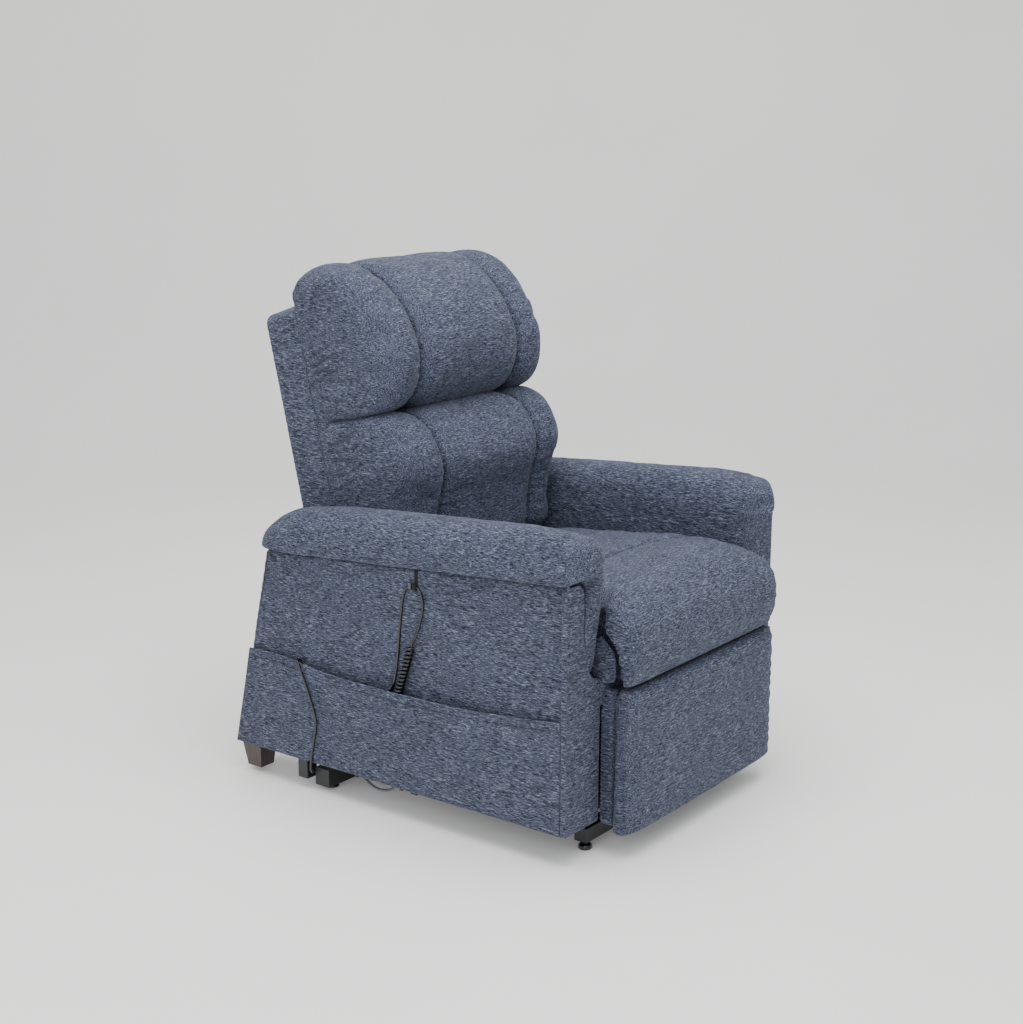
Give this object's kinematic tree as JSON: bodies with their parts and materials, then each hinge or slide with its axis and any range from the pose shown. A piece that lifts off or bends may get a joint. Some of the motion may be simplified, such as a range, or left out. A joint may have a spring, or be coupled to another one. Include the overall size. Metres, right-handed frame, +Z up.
{
  "type": "lift recliner chair",
  "caption": "Upholstered armchair with a powered lift base, reclining back, scissor footrest, side pocket and corded hand control.",
  "frame": {"origin": "middle of the bounding box's floor face, on the floor", "axes": "+Z up, -Y is the way the sitter faces, +X is the sitter's left"},
  "size_m": [0.8193, 0.9989, 1.134],
  "materials": {
    "upholstery": "slubbed blue-grey chenille",
    "black_steel": "satin black powder coat",
    "zinc_steel": "bright zinc",
    "tube_aluminium": "drawn",
    "dark_plastic": "fine grain",
    "gloss_black": "glossy",
    "cable_grey": "smooth sheath",
    "clip_grey": "moulded",
    "frame_wood": "sawn hardwood",
    "espresso_wood": "dark satin stain",
    "strap": "woven webbing",
    "button_plastic": "moulded"
  },
  "bodies": {
    "base": {"base_front_tube": "black_steel", "base_rear_tube": "black_steel", "base_rails": "black_steel", "tube_end_caps": "dark_plastic", "levelling_glides": "gloss_black", "link_brackets": "black_steel", "base_pivot_pins": "zinc_steel", "lift_motor_mount": "black_steel", "transformer_box": "dark_plastic", "mains_inlet": "dark_plastic"},
    "rear_link": {"rear_lift_links": "black_steel", "lift_torque_tube": "black_steel"},
    "front_link": {"front_lift_links": "black_steel"},
    "lift_motor_body": {"lift_motor": "dark_plastic", "lift_motor_tube": "tube_aluminium"},
    "lift_rod_body": {"lift_rod": "zinc_steel"},
    "chair": {"mechanism_plates": "black_steel", "chair_pivot_pins": "zinc_steel", "chair_cross_tube": "black_steel", "seat_frame_ends": "frame_wood", "seat_frame_sides": "frame_wood", "seat_springs": "zinc_steel", "seat_cushion": "upholstery", "scissor_guide_plates": "black_steel", "back_hinge_plates": "black_steel", "arm_left": "upholstery", "arm_right": "upholstery", "arm_facing_left": "upholstery", "arm_facing_right": "upholstery", "arm_pad_left": "upholstery", "arm_pad_right": "upholstery", "side_pocket": "upholstery", "rear_legs": "espresso_wood", "hanging_tab": "strap", "tab_clip": "clip_grey", "connector_box": "dark_plastic", "cable_clips": "dark_plastic", "harness_cable": "cable_grey", "handset_cord": "gloss_black", "handset_curl": "gloss_black", "handset_case": "dark_plastic"},
    "button_1": {"button_recline": "button_plastic"},
    "button_2": {"button_raise": "button_plastic"},
    "button_3": {"button_lower": "button_plastic"},
    "button_4": {"button_home": "button_plastic"},
    "back": {"back_frame": "frame_wood", "back_brackets": "black_steel", "back_shell": "upholstery", "head_pillow": "upholstery", "lumbar_pillow": "upholstery"},
    "back_motor_body": {"back_motor": "dark_plastic"},
    "back_rod_body": {"back_rod": "zinc_steel"},
    "rear_scissor": {"rear_scissor_links": "black_steel", "footrest_shaft": "zinc_steel"},
    "rear_cross": {"rear_cross_links": "black_steel"},
    "front_scissor": {"front_scissor_links": "black_steel"},
    "front_cross": {"front_cross_links": "black_steel"},
    "footrest": {"footrest_brackets": "black_steel", "footrest_board": "upholstery", "footrest_pad": "upholstery"}
  },
  "joints": [
    {"name": "lift", "type": "hinge", "parent": "base", "child": "rear_link", "pos_m": [0, -0.268, 0.1], "axis": [1, 0, 0], "range_deg": [0, 46.34]},
    {"name": "chair_tilt", "type": "hinge", "parent": "rear_link", "child": "chair", "pos_m": [0, 0.113, 0.167], "axis": [1, 0, 0], "range_deg": [-21.34, 0]},
    {"name": "front_link_swing", "type": "hinge", "parent": "base", "child": "front_link", "pos_m": [0, -0.334, 0.09], "axis": [1, 0, 0], "range_deg": [0, 55.38]},
    {"name": "lift_motor_swing", "type": "hinge", "parent": "base", "child": "lift_motor_body", "pos_m": [0, 0.188, 0.08], "axis": [1, 0, 0], "range_deg": [0, 2.72]},
    {"name": "lift_rod_slide", "type": "slide", "parent": "lift_motor_body", "child": "lift_rod_body", "axis": [0, -0.9645, 0.2641], "range_m": [0, 0.07673]},
    {"name": "recline", "type": "hinge", "parent": "chair", "child": "back", "pos_m": [0, 0.218, 0.395], "axis": [-1, 0, 0], "range_deg": [0, 35]},
    {"name": "back_motor_swing", "type": "hinge", "parent": "chair", "child": "back_motor_body", "pos_m": [0, -0.222, 0.24], "axis": [1, 0, 0], "range_deg": [0, 1.85]},
    {"name": "back_rod_slide", "type": "slide", "parent": "back_motor_body", "child": "back_rod_body", "axis": [0, 0.9916, 0.1293], "range_m": [-0.05667, 0]},
    {"name": "footrest", "type": "hinge", "parent": "chair", "child": "rear_scissor", "pos_m": [0, -0.3256, 0.296], "axis": [-1, 0, 0], "range_deg": [0, 56]},
    {"name": "front_scissor_swing", "type": "hinge", "parent": "rear_scissor", "child": "front_scissor", "pos_m": [0, -0.38254, 0.0835], "axis": [1, 0, 0], "range_deg": [0, 112]},
    {"name": "rear_cross_swing", "type": "hinge", "parent": "rear_scissor", "child": "rear_cross", "pos_m": [0, -0.35407, 0.18975], "axis": [1, 0, 0], "range_deg": [0, 112]},
    {"name": "front_cross_swing", "type": "hinge", "parent": "front_scissor", "child": "front_cross", "pos_m": [0, -0.39213, 0.19308], "axis": [-1, 0, 0], "range_deg": [0, 112]},
    {"name": "footrest_tilt", "type": "hinge", "parent": "front_scissor", "child": "footrest", "pos_m": [0, -0.40171, 0.30266], "axis": [-1, 0, 0], "range_deg": [0, 140]},
    {"name": "press_recline", "type": "slide", "parent": "chair", "child": "button_1", "axis": [1, 0, 0], "range_m": [0, 0.0012], "stiffness_N_per_m": 400, "springref_m": -0.0005},
    {"name": "press_raise", "type": "slide", "parent": "chair", "child": "button_2", "axis": [1, 0, 0], "range_m": [0, 0.0012], "stiffness_N_per_m": 400, "springref_m": -0.0005},
    {"name": "press_lower", "type": "slide", "parent": "chair", "child": "button_3", "axis": [1, 0, 0], "range_m": [0, 0.0012], "stiffness_N_per_m": 400, "springref_m": -0.0005},
    {"name": "press_home", "type": "slide", "parent": "chair", "child": "button_4", "axis": [1, 0, 0], "range_m": [0, 0.0012], "stiffness_N_per_m": 400, "springref_m": -0.0005}
  ],
  "couplings": [
    {"joint": "chair_tilt", "follows": "lift", "ratio": -0.46049},
    {"joint": "front_link_swing", "follows": "lift", "ratio": 1.1951},
    {"joint": "lift_motor_swing", "follows": "lift", "ratio": 0.058787},
    {"joint": "lift_rod_slide", "follows": "lift", "m_per_rad": 0.094868},
    {"joint": "back_motor_swing", "follows": "recline", "ratio": 0.052978},
    {"joint": "back_rod_slide", "follows": "recline", "m_per_rad": -0.092765},
    {"joint": "front_scissor_swing", "follows": "footrest", "ratio": 2},
    {"joint": "rear_cross_swing", "follows": "footrest", "ratio": 2},
    {"joint": "front_cross_swing", "follows": "footrest", "ratio": 2},
    {"joint": "footrest_tilt", "follows": "footrest", "ratio": 2.5}
  ]
}
